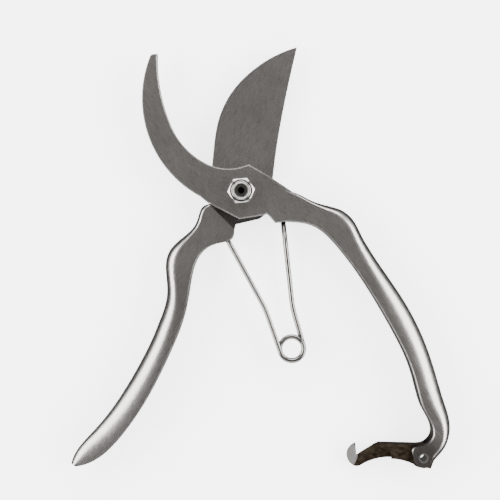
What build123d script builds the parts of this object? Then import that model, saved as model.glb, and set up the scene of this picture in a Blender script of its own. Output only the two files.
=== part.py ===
from build123d import *
import os
from math import acos, atan2, cos, degrees, hypot, radians, sin

# Bypass pruning shears, lying flat with the jaws fully open.  Millimetres.
# Origin: on the pivot axis, where it meets the surface that the shears lie on.
# +X right, +Y towards the jaws, +Z up along the pivot axis.

os.makedirs("parts", exist_ok=True)

# ---------------------------------------------------------------- heights
MID = 6.5                    # mid-plane of both handles and of the spring
PLATE = 4.1                  # thickness of each lever where the two overlap
SLIDE_GAP = 0.05             # oil film between the two levers
BACK_FACE = MID - PLATE      # underside of the blade lever at the pivot
BLADE_FACE = MID             # flat face of the blade, which slides on the hook
HOOK_BACK = MID + SLIDE_GAP  # underside of the hook lever at the pivot
HOOK_FACE = HOOK_BACK + PLATE

# ---------------------------------------------------------------- pivot hardware (M6)
BOLT_R = 3.0
BOLT_RUNNING = 0.05          # radial running clearance of the bolt in the hook lever
HEAD_R = 6.2
NECK_SQUARE = 6.6            # square neck that keys the bolt to the blade lever
NUT_FLATS = 10.0
NUT_HEIGHT = 4.0
NUT_TURN = 5.5               # how the tightened nut happens to stand, degrees
COLLAR_R = 4.1               # round collar of the lock nut
COLLAR_HEIGHT = 1.5
NUT_SEAT = HOOK_FACE + 0.03
COLLAR_TOP = NUT_SEAT + NUT_HEIGHT + COLLAR_HEIGHT
BOLT_END = COLLAR_TOP + 0.6
WASHER_R = 8.0               # thin bearing washer in a recess behind the hook lever
WASHER_T = 0.6

# ---------------------------------------------------------------- spring (one wire, two halves)
WIRE_R = 1.05
WIRE_LIFT = 1.1             # half the pitch between the two stacked turns
COIL_C = (21.4, -66.5)
COIL_R = 5.05
SEAT_LEFT = (-7.3, -17.7)    # end of the left leg, in the blade lever
SEAT_RIGHT = (17.4, -9.7)    # end of the right leg, in the hook lever
LEFT_KINK = (10.1, -49.6)
RIGHT_KINK = (21.7, -49.1)
HALF_WIND = 257.5            # each half of the coil, degrees
POCKET_R = 1.85
POCKET_REACH = 9.0
LEFT_SWING = (-62.0, -82.0, -102.0)   # directions of the left leg seen from its lever
RIGHT_SWING = (-83.0, -67.0, -51.0)   # directions of the right leg seen from its lever

# ---------------------------------------------------------------- catch
PIN_C = (76.4, -112.0)
PIN_R = 2.1
PIN_RUNNING = 0.05           # radial running clearance of the catch on its rivet
PIN_HOLE_R = 1.5
CATCH_BACK = 2.6             # underside of the catch's rear flange
CATCH_SHEET = 1.5
CATCH_FRONT = 8.6            # top of the catch's front flange
SLOT_BACK = 2.5              # faces of the slot between the two ears
SLOT_FRONT = 9.2
SLOT_R = 6.3
BOSS_R = 4.2
WAVE_R = 3.8                 # spring washer that holds the catch where it is put
EAR_BACK = 0.9
EAR_FRONT = 12.1

# ---------------------------------------------------------------- handles
# plan curves of the two handles, from the pivot shoulder to the end
RIGHT_INNER = [(14.6, -13.4), (22.6, -13.0), (31.2, -15.0), (39.4, -21.9), (50.7, -36.6), (62.9, -56.7),
               (72.2, -76.9), (78.3, -95.0), (80.9, -101.2), (77.2, -105.9), (73.4, -108.6), (72.2, -111.6)]
RIGHT_OUTER = [(16.4, 3.2), (24.4, -1.5), (35.0, -5.7), (45.6, -9.9), (49.6, -16.2), (57.6, -29.6),
               (69.6, -47.5), (79.2, -67.8), (85.9, -89.5), (88.2, -100.5), (86.4, -107.0), (80.4, -114.6)]
LEFT_INNER = [(-2.9, -16.1), (-6.0, -20.6), (-13.6, -23.4), (-18.9, -29.5), (-21.3, -38.5), (-23.9, -52.0),
              (-30.6, -69.5), (-40.8, -89.4), (-51.4, -104.3), (-60.5, -112.6), (-69.6, -115.9)]
LEFT_OUTER = [(-13.7, -5.4), (-20.3, -14.5), (-28.4, -23.4), (-32.3, -29.4), (-31.3, -37.6), (-32.6, -49.0),
              (-39.5, -66.2), (-49.7, -84.4), (-61.2, -99.8), (-68.2, -107.6), (-71.8, -114.6)]
RIGHT_STATIONS = 22          # cross-sections along each handle
LEFT_STATIONS = 15
RIGHT_HALF = [4.15, 4.2, 6.0, 6.9, 6.8, 6.2, 5.6]     # Bezier values of the half thickness
LEFT_HALF = [4.15, 4.2, 6.4, 7.2, 6.8, 5.2, 3.2]
RIGHT_CROWN = [0.94, 0.95, 0.30, 0.03, 0.08, 0.10, 0.90]   # Bezier values of the flat share of the width
LEFT_CROWN = [0.93, 0.85, 0.25, 0.03, 0.10, 0.10, 0.30]
EDGE_BREAK = 0.45            # small chamfer along the edges
NIB_R = 134.4                # beyond this radius the left handle's end keeps its full depth
RELIEF_R = 107.0             # from here to the nib, the catch can pass behind the handle
RELIEF_TOP = 6.3

# ---------------------------------------------------------------- blade
SHARP_EDGE = [(-13.4, 3.0), (-11.9, 15.5), (-9.4, 31.0), (-4.3, 41.6), (5.4, 51.7), (15.5, 58.0), (23.6, 61.0)]
BEVEL_TOP = [(-13.4, 3.0), (-8.6, 15.5), (-2.0, 28.0), (4.2, 37.0), (11.5, 45.0), (16.5, 49.5), (21.6, 52.4)]
EDGE_LAND = 0.3              # thickness left at the sharp edge


def polar(centre, radius, angle):
    """A point of the plan at a distance and direction from a centre."""
    return (centre[0] + radius * cos(radians(angle)), centre[1] + radius * sin(radians(angle)))


def section_plane(inner, outer):
    """Plane across a handle: local x runs from its inner to its outer edge."""
    across = outer - inner
    along = across.cross(Vector(0, 0, 1))
    return Plane(origin=inner + Vector(0, 0, MID), x_dir=across, z_dir=along)


def bezier(values, t):
    """Bezier curve through the first and last of the values."""
    while len(values) > 1:
        values = [(1 - t) * a + t * b for a, b in zip(values, values[1:])]
    return values[0]


def handle_sections(inner_points, outer_points, stations, halves, crowns):
    """D sections of a handle: flat inner wall, flat crown, rounded outer side."""
    inner_edge = Spline(*inner_points)
    outer_edge = Spline(*outer_points)
    sections = []
    for station in range(stations):
        t = station / (stations - 1)
        inner = inner_edge @ t
        outer = outer_edge @ t
        half = bezier(halves, t)
        width = (outer - inner).length
        crown = bezier(crowns, t) * width
        with BuildSketch(section_plane(inner, outer)) as section:
            with BuildLine():
                Line((0, EDGE_BREAK - half), (0, half - EDGE_BREAK))
                Line((0, half - EDGE_BREAK), (EDGE_BREAK, half))
                Line((EDGE_BREAK, half), (crown, half))
                EllipticalCenterArc((crown, 0), width - crown, half, start_angle=-90, arc_size=180)
                Line((crown, -half), (EDGE_BREAK, -half))
                Line((EDGE_BREAK, -half), (0, EDGE_BREAK - half))
            make_face()
        sections.append(section.sketch)
    return sections


def leg_pocket(seat, swing, height):
    """Fan-shaped floor of the pocket that a spring leg swings in."""
    with BuildSketch(Plane.XY.offset(height - POCKET_R)) as fan:
        with Locations(seat, *[polar(seat, POCKET_REACH, angle) for angle in swing]):
            Circle(POCKET_R)
        make_hull()
    return fan.sketch


def blade_outline(edge, height):
    """Plan of the blade: a cutting edge through the given points and a slightly hollow spine."""
    with BuildSketch(Plane.XY.offset(height)) as blade:
        with BuildLine():
            Spline(*edge)
            Spline(edge[-1], (19.2, 41.6), (14.9, 18.0), (13.2, 3.8))
            Line((13.2, 3.8), edge[0])
        make_face()
    return blade.sketch


# ---------------------------------------------------------------- blade lever
with BuildPart() as blade_lever:
    loft(handle_sections(LEFT_INNER, LEFT_OUTER, LEFT_STATIONS, LEFT_HALF, LEFT_CROWN))
    with BuildSketch(Plane.XY.offset(BACK_FACE)):
        with BuildLine():
            Polyline((-12.0, 7.2), (-13.9, 1.0), (-13.8, -5.4), (-16.4, -11.5), (-7.0, -18.6), (-2.9, -16.1),
                     (-2.3, -13.9), (7.7, -11.6))
            ThreePointArc((7.7, -11.6), (13.8, -2.3), (11.9, 7.3))
            Line((11.9, 7.3), (-12.0, 7.2))
        make_face()
    extrude(amount=PLATE)
    loft([blade_outline(BEVEL_TOP, BACK_FACE), blade_outline(SHARP_EDGE, BLADE_FACE - EDGE_LAND)])
    extrude(blade_outline(SHARP_EDGE, BLADE_FACE - EDGE_LAND), amount=EDGE_LAND)
    extrude(leg_pocket(SEAT_LEFT, LEFT_SWING, MID + WIRE_LIFT), amount=2 * POCKET_R, mode=Mode.SUBTRACT)
    # relief behind the handle's end, in which the catch passes
    with BuildSketch():
        Circle(NIB_R)
        Circle(RELIEF_R, mode=Mode.SUBTRACT)
        with BuildLine():
            Polyline((0, 0), polar((0, 0), 2 * NIB_R, -100), polar((0, 0), 2 * NIB_R, -140), (0, 0))
        make_face(mode=Mode.INTERSECT)
    extrude(amount=RELIEF_TOP, mode=Mode.SUBTRACT)
    with Locations((0, 0, BACK_FACE)):
        Box(NECK_SQUARE, NECK_SQUARE, 5.2, mode=Mode.SUBTRACT)
    with Locations((0, 0, BLADE_FACE)):
        Hole(BOLT_R + 0.01, depth=2 * PLATE)
blade_lever.part.label = "blade_lever"
export_step(blade_lever.part, "parts/blade_lever.step")

# ---------------------------------------------------------------- hook lever
with BuildPart() as hook_plate:
    with BuildSketch(Plane.XY.offset(HOOK_BACK)):
        with BuildLine():
            Polyline((-35.2, 57.6), (-37.6, 57.4), (-38.3, 56.6))
            back = ThreePointArc((-38.3, 56.6), (-41.7, 39.5), (-38.4, 21.4))
            TangentArc((-38.4, 21.4), (-17.4, -2.2), tangent=back % 1)
            Polyline((-17.4, -2.2), (-14.0, -5.0), (-0.7, -11.8), (9.3, -10.2), (10.7, -9.6), (11.7, -10.4),
                     (14.2, -13.3), (17.0, -13.3), (21.0, -8.0), (24.6, -2.2), (22.4, -0.9), (12.7, 5.6),
                     (3.1, 11.1))
            root = ThreePointArc((3.1, 11.1), (-6.0, 9.3), (-14.4, 11.4))
            throat = TangentArc((-14.4, 11.4), (-29.3, 27.0), tangent=root % 1)
            TangentArc((-29.3, 27.0), (-35.2, 57.6), tangent=throat % 1)
        make_face()
    extrude(amount=PLATE)
    front_edges = hook_plate.faces().sort_by(Axis.Z)[-1].edges()
    chamfer(front_edges.filter_by(lambda edge: edge.center().X < 18), EDGE_BREAK)

with BuildPart() as hook_lever:
    loft(handle_sections(RIGHT_INNER, RIGHT_OUTER, RIGHT_STATIONS, RIGHT_HALF, RIGHT_CROWN))
    add(hook_plate.part)
    # boss of the two ears around the catch's rivet
    with BuildSketch(Plane.XY.offset(EAR_BACK)):
        with Locations(PIN_C):
            Circle(BOSS_R)
    extrude(amount=EAR_FRONT - EAR_BACK)
    with BuildSketch(Plane.XY.offset(SLOT_BACK)):
        with Locations(PIN_C):
            Circle(SLOT_R)
        with BuildLine():
            Polyline(PIN_C, (82.4, -108.2), (82.2, -103.0), (78.0, -100.4), (70.0, -102.0), PIN_C)
        make_face()
    extrude(amount=SLOT_FRONT - SLOT_BACK, mode=Mode.SUBTRACT)
    with Locations((PIN_C[0], PIN_C[1], EAR_FRONT)):
        Hole(PIN_R, depth=2 * EAR_FRONT)
    extrude(leg_pocket(SEAT_RIGHT, RIGHT_SWING, MID - WIRE_LIFT), amount=2 * POCKET_R, mode=Mode.SUBTRACT)
    with BuildSketch(Plane.XY.offset(HOOK_BACK)):
        Circle(WASHER_R + 0.1)
    extrude(amount=WASHER_T, mode=Mode.SUBTRACT)
    with Locations((0, 0, HOOK_FACE)):
        Hole(BOLT_R + BOLT_RUNNING, depth=2 * PLATE)
hook_lever.part.label = "hook_lever"
export_step(hook_lever.part, "parts/hook_lever.step")

# ---------------------------------------------------------------- pivot hardware
with BuildPart() as pivot_bolt:
    Cylinder(HEAD_R, BACK_FACE - 0.05, align=(Align.CENTER, Align.CENTER, Align.MIN))
    chamfer(pivot_bolt.edges().filter_by(GeomType.CIRCLE).sort_by(Axis.Z)[0], 0.6)
    with Locations((0, 0, BACK_FACE - 0.05)):
        Box(NECK_SQUARE - 0.1, NECK_SQUARE - 0.1, 2.6, align=(Align.CENTER, Align.CENTER, Align.MIN))
        Cylinder(BOLT_R, BOLT_END - BACK_FACE + 0.05, align=(Align.CENTER, Align.CENTER, Align.MIN))
    chamfer(pivot_bolt.edges().filter_by(GeomType.CIRCLE).sort_by(Axis.Z)[-1], 0.4)
    with Locations((0, 0, BOLT_END)):
        Hole(1.4, depth=2.2)
        with Locations(Rotation(0, 0, 21)):
            Box(0.7, 3 * BOLT_R, 1.6, mode=Mode.SUBTRACT)
pivot_bolt.part.label = "pivot_bolt"
export_step(pivot_bolt.part, "parts/pivot_bolt.step")

INSERT_R = 3.6               # outside of the lock nut's nylon ring
INSERT_SEAT = NUT_SEAT + NUT_HEIGHT - 0.4
with BuildPart() as pivot_nut:
    with BuildSketch(Plane.XY.offset(NUT_SEAT)):
        RegularPolygon(NUT_FLATS / 2, 6, major_radius=False, rotation=NUT_TURN)
    extrude(amount=NUT_HEIGHT)
    # the corners are turned off at 30 degrees on both faces
    with BuildSketch(Plane.XZ):
        with BuildLine():
            Polyline((0, NUT_SEAT), (5.0, NUT_SEAT), (5.8, NUT_SEAT + 0.46),
                     (5.8, NUT_SEAT + NUT_HEIGHT - 0.6), (4.7, NUT_SEAT + NUT_HEIGHT),
                     (0, NUT_SEAT + NUT_HEIGHT), (0, NUT_SEAT))
        make_face()
    revolve(axis=Axis.Z, mode=Mode.INTERSECT)
    with Locations((0, 0, NUT_SEAT + NUT_HEIGHT)):
        Cylinder(COLLAR_R, COLLAR_HEIGHT, align=(Align.CENTER, Align.CENTER, Align.MIN))
    fillet(pivot_nut.edges().filter_by(GeomType.CIRCLE).sort_by(Axis.Z)[-1], 0.5)
    with Locations((0, 0, COLLAR_TOP)):
        CounterBoreHole(BOLT_R + 0.02, INSERT_R, COLLAR_TOP - INSERT_SEAT)
pivot_nut.part.label = "pivot_nut"
export_step(pivot_nut.part, "parts/pivot_nut.step")

with BuildPart() as nut_insert:
    with BuildSketch(Plane.XY.offset(INSERT_SEAT)):
        Circle(INSERT_R - 0.02)
        Circle(BOLT_R + 0.02, mode=Mode.SUBTRACT)
    extrude(amount=COLLAR_TOP - INSERT_SEAT - 0.25)
nut_insert.part.label = "nut_insert"
export_step(nut_insert.part, "parts/nut_insert.step")

with BuildPart() as bearing_washer:
    with BuildSketch(Plane.XY.offset(BLADE_FACE + SLIDE_GAP / 2)):
        Circle(WASHER_R)
        Circle(BOLT_R + 0.1, mode=Mode.SUBTRACT)
    extrude(amount=WASHER_T)
bearing_washer.part.label = "bearing_washer"
export_step(bearing_washer.part, "parts/bearing_washer.step")


# ---------------------------------------------------------------- spring
def spring_half(seat, kink, side, lift):
    """One leg and its half of the coil, as a round wire along a flat path.

    side is +1 where the wire wraps the coil anticlockwise from the leg, and -1 where clockwise.
    """
    reach = hypot(kink[0] - COIL_C[0], kink[1] - COIL_C[1])
    bearing = degrees(atan2(kink[1] - COIL_C[1], kink[0] - COIL_C[0]))
    start = bearing + side * degrees(acos(COIL_R / reach))
    touch = polar(COIL_C, COIL_R, start)
    middle = polar(COIL_C, COIL_R, start + side * HALF_WIND / 2)
    end = polar(COIL_C, COIL_R, start + side * HALF_WIND)
    with BuildPart() as half:
        with BuildLine(Plane.XY.offset(MID + lift)) as path:
            FilletPolyline(seat, kink, touch, radius=12)
            ThreePointArc(touch, middle, end)
        with BuildSketch(Plane(origin=path.line @ 0, z_dir=path.line % 0)):
            Circle(WIRE_R)
        sweep(path=path.line)
    return half.part


spring_left = spring_half(SEAT_LEFT, LEFT_KINK, 1, WIRE_LIFT)
spring_left.label = "spring_left"
export_step(spring_left, "parts/spring_left.step")

spring_right = spring_half(SEAT_RIGHT, RIGHT_KINK, -1, -WIRE_LIFT)
spring_right.label = "spring_right"
export_step(spring_right, "parts/spring_right.step")

# ---------------------------------------------------------------- catch
with BuildPart() as catch:
    with BuildSketch(Plane.XY.offset(CATCH_BACK)):
        with BuildLine():
            Polyline((74.4, -106.7), (58.3, -106.3), (56.6, -107.1), (48.9, -111.9), (48.5, -106.8))
            ThreePointArc((48.5, -106.8), (44.8, -111.3), (48.9, -116.7))
            Line((48.9, -116.7), (50.4, -116.4))
            ThreePointArc((50.4, -116.4), (59.6, -113.0), (72.4, -115.0))
            ThreePointArc((72.4, -115.0), (74.4, -116.3), (77.0, -116.3))
            Polyline((77.0, -116.3), (79.9, -117.0), (81.2, -113.6))
            ThreePointArc((81.2, -113.6), (80.3, -108.6), (74.4, -106.7))
        make_face()
    extrude(amount=CATCH_FRONT - CATCH_BACK)
    # folded channel: front flange and top web only over the inner part, open below
    with BuildSketch(Plane.XY.offset(CATCH_BACK + CATCH_SHEET)):
        with BuildLine():
            Polyline((72.6, -108.5), (58.4, -108.1), (47.0, -114.6), (47.0, -120.0), (72.6, -120.0),
                     (72.6, -108.5))
        make_face()
    extrude(amount=CATCH_FRONT - CATCH_BACK - 2 * CATCH_SHEET, mode=Mode.SUBTRACT)
    # the front flange ends in a rounded cut-out, so only the rear flange reaches the hook
    with BuildSketch(Plane.XY.offset(CATCH_BACK + CATCH_SHEET)):
        with BuildLine():
            Polyline((63.3, -120.0), (63.3, -111.8))
            ThreePointArc((63.3, -111.8), (62.0, -109.2), (58.9, -108.1))
            Polyline((58.9, -108.1), (57.4, -104.0), (42.0, -104.0), (42.0, -120.0), (63.3, -120.0))
        make_face()
    extrude(amount=CATCH_FRONT, mode=Mode.SUBTRACT)
    with Locations((PIN_C[0], PIN_C[1], CATCH_FRONT)):
        Hole(PIN_R + PIN_RUNNING, depth=2 * CATCH_FRONT)
catch.part.label = "catch"
export_step(catch.part, "parts/catch.step")

with BuildPart() as catch_rivet:
    with BuildSketch(Plane.XY.offset(EAR_BACK)):
        with Locations(PIN_C):
            Circle(PIN_R - 0.01)
            Circle(PIN_HOLE_R, mode=Mode.SUBTRACT)
    extrude(amount=EAR_FRONT - EAR_BACK - 0.3)
catch_rivet.part.label = "catch_rivet"
export_step(catch_rivet.part, "parts/catch_rivet.step")

with BuildPart() as catch_washer:
    with BuildSketch(Plane.XY.offset(CATCH_FRONT + 0.05)):
        with Locations(PIN_C):
            Circle(WAVE_R)
            Circle(PIN_R + 0.1, mode=Mode.SUBTRACT)
    extrude(amount=SLOT_FRONT - CATCH_FRONT - 0.1)
catch_washer.part.label = "catch_washer"
export_step(catch_washer.part, "parts/catch_washer.step")
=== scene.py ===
import math

import bmesh
import bpy
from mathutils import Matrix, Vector


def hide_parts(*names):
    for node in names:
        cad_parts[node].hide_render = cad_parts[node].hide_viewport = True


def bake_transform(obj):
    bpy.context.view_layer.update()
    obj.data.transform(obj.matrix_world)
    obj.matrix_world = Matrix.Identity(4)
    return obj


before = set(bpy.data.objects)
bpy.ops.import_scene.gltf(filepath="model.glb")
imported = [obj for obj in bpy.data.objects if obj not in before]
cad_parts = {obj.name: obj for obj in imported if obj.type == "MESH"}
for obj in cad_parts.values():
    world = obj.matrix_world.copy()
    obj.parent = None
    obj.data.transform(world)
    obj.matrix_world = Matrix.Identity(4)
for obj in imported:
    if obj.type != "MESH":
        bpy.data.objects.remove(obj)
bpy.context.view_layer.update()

MM = 0.001
MID = 6.5 * MM           # mid-plane of the handles and of the spring

# ---------------------------------------------------------------- camera
CAMERA_HEIGHT = 0.52
CENTRE = Vector((3.7, -24.8, 0)) * MM
VIEW_WIDTH = 0.2115      # what the picture shows across, at the mid-plane
camera_data = bpy.data.cameras.new("camera")
camera_data.sensor_width = 36
camera_data.lens = 36 * (CAMERA_HEIGHT - MID) / VIEW_WIDTH
camera_data.clip_start = 0.01
camera = bpy.data.objects.new("camera", camera_data)
camera.location = CENTRE + Vector((0, 0, CAMERA_HEIGHT))
bpy.context.scene.collection.objects.link(camera)
bpy.context.scene.camera = camera


# ---------------------------------------------------------------- materials
def new_material(name):
    """An empty material: its nodes, its links and its shader."""
    material = bpy.data.materials.new(name)
    material.use_nodes = True
    tree = material.node_tree
    return material, tree.nodes, tree.links, tree.nodes["Principled BSDF"]


def stretched_noise(nodes, links, turn, scale, detail=4):
    """Noise in the object's own coordinates, turned about Z and stretched along its X axis."""
    coords = nodes.new("ShaderNodeTexCoord")
    rotate = nodes.new("ShaderNodeMapping")
    rotate.inputs["Rotation"].default_value = (0, 0, math.radians(turn))
    stretch = nodes.new("ShaderNodeMapping")
    stretch.inputs["Scale"].default_value = scale
    noise = nodes.new("ShaderNodeTexNoise")
    noise.inputs["Scale"].default_value = 1
    noise.inputs["Detail"].default_value = detail
    links.new(coords.outputs["Object"], rotate.inputs["Vector"])
    links.new(rotate.outputs["Vector"], stretch.inputs["Vector"])
    links.new(stretch.outputs["Vector"], noise.inputs["Vector"])
    return noise.outputs["Fac"]


def ramp(nodes, links, source, stops):
    """Colours picked by a 0 to 1 value; stops are (position, colour) pairs."""
    picker = nodes.new("ShaderNodeValToRGB")
    elements = picker.color_ramp.elements
    while len(elements) < len(stops):
        elements.new(0.5)
    for element, (position, colour) in zip(elements, stops):
        element.position = position
        element.color = (*colour, 1)
    links.new(source, picker.inputs["Fac"])
    return picker.outputs["Color"]


def metal(name, dark, light, roughness, turn, grain, strength, depth=0.00002, metallic=1.0):
    """Metal with grinding lines: they vary its colour and roughness a little and stand in its bump."""
    material, nodes, links, shader = new_material(name)
    shader.inputs["Metallic"].default_value = metallic
    lines = stretched_noise(nodes, links, turn, grain)
    clouds = stretched_noise(nodes, links, 0, (60, 60, 60), 2)
    mix = nodes.new("ShaderNodeMath")
    mix.operation = "MULTIPLY_ADD"
    mix.inputs[1].default_value = 0.6
    links.new(lines, mix.inputs[0])
    half = nodes.new("ShaderNodeMath")
    half.operation = "MULTIPLY"
    half.inputs[1].default_value = 0.4
    links.new(clouds, half.inputs[0])
    links.new(half.outputs[0], mix.inputs[2])
    links.new(ramp(nodes, links, mix.outputs[0], [(0.36, dark), (0.64, light)]), shader.inputs["Base Color"])
    spread = nodes.new("ShaderNodeMapRange")
    spread.inputs["To Min"].default_value = roughness * 0.8
    spread.inputs["To Max"].default_value = roughness * 1.25
    links.new(lines, spread.inputs["Value"])
    links.new(spread.outputs["Result"], shader.inputs["Roughness"])
    bump = nodes.new("ShaderNodeBump")
    bump.inputs["Strength"].default_value = strength
    bump.inputs["Distance"].default_value = depth
    links.new(lines, bump.inputs["Height"])
    links.new(bump.outputs["Normal"], shader.inputs["Normal"])
    return material


def spot(material, centre, radius, blur, colour, top=99):
    """Tint a material in a round spot about a vertical axis, up to a height."""
    nodes, links = material.node_tree.nodes, material.node_tree.links
    shader = nodes["Principled BSDF"]
    coords = nodes.new("ShaderNodeTexCoord")
    flatten = nodes.new("ShaderNodeVectorMath")
    flatten.operation = "MULTIPLY"
    flatten.inputs[1].default_value = (1, 1, 0)
    distance = nodes.new("ShaderNodeVectorMath")
    distance.operation = "DISTANCE"
    distance.inputs[1].default_value = (centre[0] * MM, centre[1] * MM, 0)
    mask = nodes.new("ShaderNodeMapRange")
    mask.interpolation_type = "SMOOTHSTEP"
    mask.inputs["From Min"].default_value = (radius - blur) * MM
    mask.inputs["From Max"].default_value = (radius + blur) * MM
    mask.inputs["To Min"].default_value = 1
    mask.inputs["To Max"].default_value = 0
    links.new(coords.outputs["Object"], flatten.inputs[0])
    links.new(flatten.outputs["Vector"], distance.inputs[0])
    links.new(distance.outputs["Value"], mask.inputs["Value"])
    height = nodes.new("ShaderNodeSeparateXYZ")
    links.new(coords.outputs["Object"], height.inputs["Vector"])
    below = nodes.new("ShaderNodeMath")
    below.operation = "LESS_THAN"
    below.inputs[1].default_value = top * MM
    links.new(height.outputs["Z"], below.inputs[0])
    both = nodes.new("ShaderNodeMath")
    both.operation = "MULTIPLY"
    links.new(mask.outputs["Result"], both.inputs[0])
    links.new(below.outputs[0], both.inputs[1])
    tint = nodes.new("ShaderNodeMix")
    tint.data_type = "RGBA"
    before = shader.inputs["Base Color"].links[0].from_socket
    links.new(both.outputs[0], tint.inputs[0])
    links.new(before, tint.inputs[6])
    tint.inputs[7].default_value = (*colour, 1)
    links.new(tint.outputs[2], shader.inputs["Base Color"])


FINE = (250, 7000, 2500)         # grinding lines along X, per metre
hook_steel = metal("hook_steel", (0.41, 0.395, 0.375), (0.54, 0.52, 0.50), 0.27, 52, FINE, 0.1)
blade_steel = metal("blade_steel", (0.39, 0.372, 0.355), (0.52, 0.50, 0.48), 0.27, -68, FINE, 0.1)
bright = metal("bright_steel", (0.27, 0.26, 0.245), (0.38, 0.37, 0.35), 0.14, 0, (1500, 3000, 3000), 0.12)
rivet_steel = metal("rivet_steel", (0.70, 0.68, 0.65), (0.85, 0.83, 0.80), 0.2, 0, (1500, 3000, 3000), 0.12)
wire_steel = metal("wire_steel", (0.20, 0.19, 0.18), (0.30, 0.29, 0.28), 0.15, 0, (900, 900, 900), 0.1)
browned = metal("browned_steel", (0.055, 0.040, 0.028), (0.17, 0.13, 0.09), 0.30, 0, (500, 900, 900), 0.4)
spot(hook_steel, (77, -112), 8, 5, (0.20, 0.18, 0.17))
# painted shadow: near-black on the blade lever below 7 mm height, in the wedge between the hook plate and the
# handle's shoulder
spot(blade_steel, (-6, -12), 8, 4, (0.05, 0.047, 0.043), top=7)
# painted shade: a softer darker disc on the blade lever below 7 mm height, along the edge of the hook plate
spot(blade_steel, (2, -12), 12, 4, (0.17, 0.16, 0.15), top=7)
# painted highlight: near-white disc on the catch's curled hook tip, where its lit face shines
spot(browned, (42.6, -111.5), 6.8, 0.3, (0.95, 0.94, 0.92))
# painted shade: near-black disc at the pivot's centre, standing for the shade inside the bolt end's hole
spot(bright, (0, 0), 1.4, 0.15, (0.02, 0.02, 0.02))
bronze = metal("bronze", (0.45, 0.30, 0.15), (0.62, 0.45, 0.25), 0.3, 0, (2000, 2000, 2000), 0.3)
nylon = metal("nylon", (0.62, 0.61, 0.55), (0.78, 0.77, 0.70), 0.5, 0, (900, 900, 900), 0.3, metallic=0.0)

FINISH = {
    "hook_lever": hook_steel, "blade_lever": blade_steel, "pivot_bolt": bright, "pivot_nut": bright,
    "nut_insert": nylon, "bearing_washer": bronze, "spring_left": wire_steel, "spring_right": wire_steel,
    "catch": browned, "catch_rivet": rivet_steel, "catch_washer": bright,
}
for node, material in FINISH.items():
    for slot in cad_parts[node].material_slots:
        slot.material = material

# ---------------------------------------------------------------- spring
# one wire: up the left leg, once and a half round the coil, down the right leg
WIRE_R = 1.05 * MM
TURN_LIFT = 1.1 * MM
COIL = Vector((21.4, -66.5, 0)) * MM
COIL_R = 5.05 * MM
LEFT_LEG = [Vector(point) * MM for point in [(-7.3, -17.7, 0), (10.1, -49.6, 0)]]
RIGHT_LEG = [Vector(point) * MM for point in [(21.7, -49.1, 0), (17.4, -9.7, 0)]]
WIRE_SIDES = 20
TURN_STEP = 6            # degrees between two rings of the coil


def tangent_angle(point, side):
    """Direction from the coil's centre to where a straight run from the point touches the coil."""
    away = point - COIL
    return math.atan2(away.y, away.x) + side * math.acos(COIL_R / away.xy.length)


def wire_path():
    """Points of the wire's centre line, the bends at the two kinks rounded."""
    start = tangent_angle(LEFT_LEG[1], 1)
    end = tangent_angle(RIGHT_LEG[0], -1)
    wind = (end - start) % math.tau + math.tau
    rings = int(math.degrees(wind) / TURN_STEP)
    path = leg_points(LEFT_LEG[0], LEFT_LEG[1], coil_point(start, 0), TURN_LIFT)
    path += [coil_point(start + wind * i / rings, i / rings) for i in range(rings + 1)]
    path += leg_points(coil_point(end, 1), RIGHT_LEG[0], RIGHT_LEG[1], -TURN_LIFT)
    return path


def coil_point(angle, share):
    """Point of the coil, which sinks evenly from the upper leg to the lower one."""
    lift = TURN_LIFT * (1 - 2 * share)
    return COIL + Vector((COIL_R * math.cos(angle), COIL_R * math.sin(angle), MID + lift))


def leg_points(first, kink, last, lift):
    """A leg from end to end, with a short bend at its kink."""
    height = Vector((0, 0, MID + lift))
    ends = [Vector((point.x, point.y, 0)) for point in (first, kink, last)]
    before = ends[1] + (ends[0] - ends[1]).normalized() * BEND
    after = ends[1] + (ends[2] - ends[1]).normalized() * BEND
    bend = [before.lerp(ends[1], t).lerp(ends[1].lerp(after, t), t) for t in (0, 0.25, 0.5, 0.75, 1)]
    straight = [ends[0].lerp(before, t / 6) for t in range(6)]
    return [point + height for point in straight + bend + [ends[2].lerp(after, 0.5)] + [ends[2]]]


BEND = 3.5 * MM          # length of wire on each side of a kink that bends


def wire_mesh(name, path):
    """A round wire along a path, its ends closed with flat caps."""
    mesh = bpy.data.meshes.new(name)
    shape = bmesh.new()
    rings = []
    for index, centre in enumerate(path):
        ahead = path[min(index + 1, len(path) - 1)] - path[max(index - 1, 0)]
        side = ahead.cross(Vector((0, 0, 1))).normalized()
        up = side.cross(ahead).normalized()
        turns = [math.tau * k / WIRE_SIDES for k in range(WIRE_SIDES)]
        rings.append([shape.verts.new(centre + WIRE_R * (side * math.cos(a) + up * math.sin(a))) for a in turns])
    for ring, following in zip(rings, rings[1:]):
        for k in range(WIRE_SIDES):
            shape.faces.new((ring[k], ring[k - 1], following[k - 1], following[k]))
    shape.faces.new(rings[0])
    shape.faces.new(reversed(rings[-1]))
    bmesh.ops.recalc_face_normals(shape, faces=shape.faces)
    for face in shape.faces:
        face.smooth = len(face.verts) == 4
    shape.to_mesh(mesh)
    shape.free()
    piece = bpy.data.objects.new(name, mesh)
    bpy.context.scene.collection.objects.link(piece)
    return piece


spring = wire_mesh("opening_spring", wire_path())
spring.data.materials.append(wire_steel)
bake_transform(spring)
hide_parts("spring_left", "spring_right")

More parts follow.
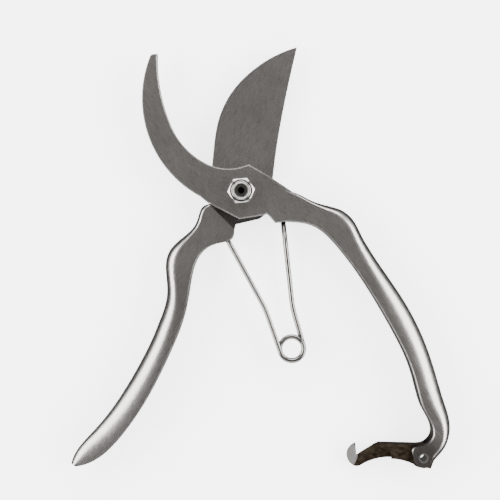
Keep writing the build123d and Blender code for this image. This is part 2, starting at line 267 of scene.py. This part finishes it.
# ---------------------------------------------------------------- floor and light
FLOOR_GLOW = 3.0        # lifts the paper floor to white
bpy.ops.mesh.primitive_plane_add(size=6, location=(0, 0, 0))
floor = bpy.context.object
floor.name = "floor"
floor_material, _, _, floor_shader = new_material("floor_white")
floor_shader.inputs["Base Color"].default_value = (1.0, 1.0, 1.0, 1)
floor_shader.inputs["Emission Color"].default_value = (1, 1, 1, 1)
floor_shader.inputs["Emission Strength"].default_value = FLOOR_GLOW
floor_shader.inputs["Roughness"].default_value = 0.9
floor_shader.inputs["Specular IOR Level"].default_value = 0.1
floor.data.materials.append(floor_material)
floor.visible_glossy = False     # the steel mirrors the dark below it, not the white floor


def softbox(name, location, size, power):
    """A large soft area light aimed at the shears."""
    data = bpy.data.lights.new(name, "AREA")
    data.shape = "RECTANGLE"
    data.size, data.size_y = size
    data.energy = power
    light = bpy.data.objects.new(name, data)
    light.location = location
    light.rotation_euler = (Vector((0, -0.03, 0)) - Vector(location)).to_track_quat("-Z", "Y").to_euler()
    bpy.context.scene.collection.objects.link(light)


softbox("softbox_left", (-1.3, 0.0, 0.75), (1.8, 1.0), 48)
softbox("softbox_right", (1.3, 0.0, 0.75), (1.8, 1.0), 48)
softbox("softbox_head", (0.0, 1.3, 0.75), (1.8, 0.8), 30)
softbox("softbox_foot", (0.0, -1.4, 0.75), (1.8, 0.6), 14)

# studio room: pale walls, darker ceiling
world = bpy.data.worlds.new("studio")
world.use_nodes = True
nodes, links = world.node_tree.nodes, world.node_tree.links
room = nodes.new("ShaderNodeTexCoord")
height = nodes.new("ShaderNodeSeparateXYZ")
links.new(room.outputs["Generated"], height.inputs["Vector"])
level = nodes.new("ShaderNodeMapRange")
level.inputs["From Min"].default_value = -1
links.new(height.outputs["Z"], level.inputs["Value"])
WALLS = [(0.46, (0.07, 0.068, 0.065)), (0.54, (0.80, 0.81, 0.83)), (0.78, (0.95, 0.96, 0.98)), (0.95, (0.14, 0.135, 0.13))]
shades = ramp(nodes, links, level.outputs["Result"], WALLS)
links.new(shades, nodes["Background"].inputs["Color"])
nodes["Background"].inputs["Strength"].default_value = 1.15
bpy.context.scene.world = world
